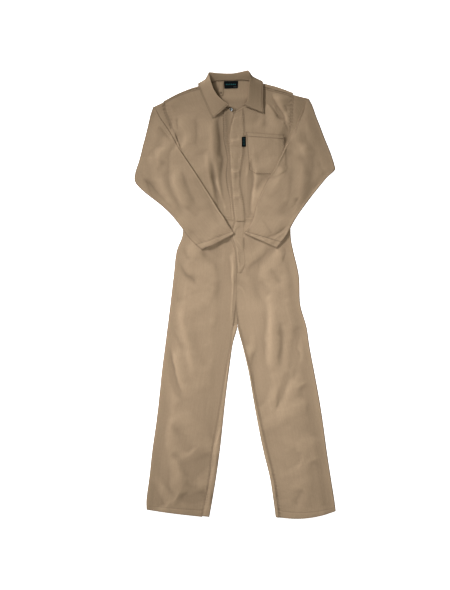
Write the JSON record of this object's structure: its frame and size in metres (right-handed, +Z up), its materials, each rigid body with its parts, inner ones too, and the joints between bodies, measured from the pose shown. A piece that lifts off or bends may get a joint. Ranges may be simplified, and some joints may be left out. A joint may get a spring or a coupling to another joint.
{
  "type": "boiler suit",
  "caption": "Long-sleeved cotton twill boiler suit laid flat on its back, sleeves folded across the front, with collar, front placket, fly and chest pocket.",
  "frame": {"origin": "on the surface that the suit lies on, under the middle of the whole suit's bounding box", "axes": "+X to the wearer's left, +Y from the hems to the collar, +Z up from the back of the suit to its front"},
  "size_m": [0.7583, 1.6796, 0.0275],
  "materials": {
    "twill": "khaki cotton twill, matt with a faint sheen along the folds",
    "woven_label": null,
    "stud": "bright nickel plate"
  },
  "bodies": {
    "root": {"back_bodice": "twill", "front_bodice_r": "twill", "front_bodice_l": "twill", "under_placket": "twill", "placket": "twill", "chest_pocket": "twill", "sleeve_r": "twill", "sleeve_l": "twill", "collar": "twill", "neck_tab": "twill", "back_leg_r": "twill", "back_leg_l": "twill", "front_leg_r": "twill", "front_leg_l": "twill", "fly": "twill", "neck_label": "woven_label", "pocket_label": "woven_label", "press_stud": "stud"}
  },
  "joints": []
}
